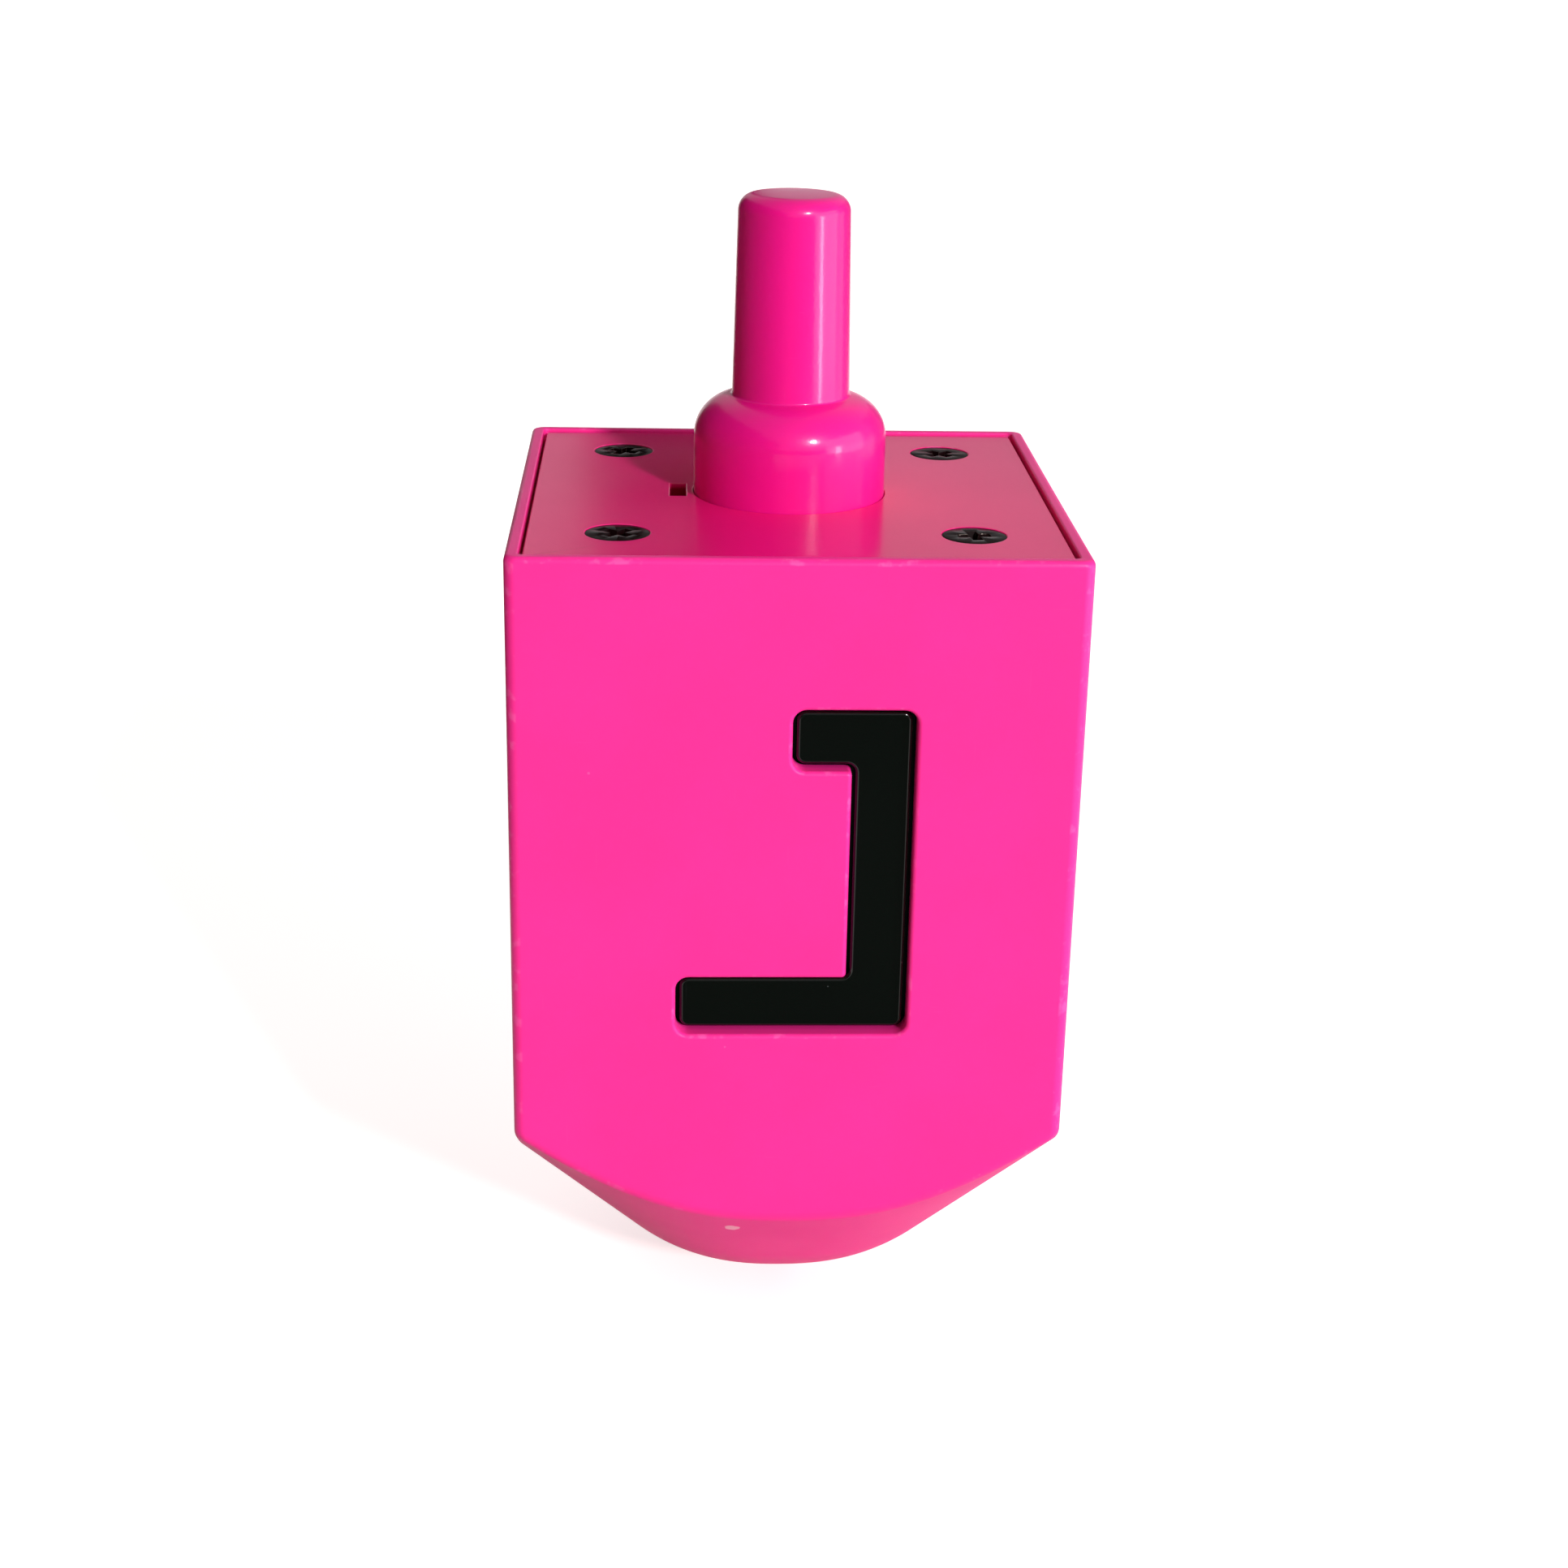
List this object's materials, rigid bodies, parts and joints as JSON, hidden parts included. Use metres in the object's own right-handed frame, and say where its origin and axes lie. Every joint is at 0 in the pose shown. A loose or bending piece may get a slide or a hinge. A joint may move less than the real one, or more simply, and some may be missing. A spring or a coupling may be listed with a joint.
{
  "type": "dreidel",
  "caption": "Four-sided spinning top with a square hollow body, recessed letter plates, a screwed lid, a finger stem and a rounded conical tip.",
  "frame": {"origin": "the point that the dreidel spins on, at the bottom of the axis of spin", "axes": "+Z along the axis of spin, towards the finger stem; -Y out of the face with the letter nun; +X to the right of that face"},
  "size_m": [0.05, 0.05, 0.1081],
  "materials": {
    "body_pink": "hot pink moulded plastic, satin gloss",
    "lid_pink": "hot pink moulded plastic, fine satin",
    "stem_pink": "hot pink moulded plastic, gloss",
    "letter_black": "black moulded plastic, soft gloss",
    "screw_black": "black oxide on steel"
  },
  "bodies": {
    "root": {"body_shell": "body_pink", "lid": "lid_pink", "finger_stem": "stem_pink", "letter_nun": "letter_black", "letter_gimel": "letter_black", "letter_hei": "letter_black", "letter_shin": "letter_black", "screw_front_left": "screw_black", "screw_front_right": "screw_black", "screw_rear_right": "screw_black", "screw_rear_left": "screw_black"}
  },
  "joints": []
}
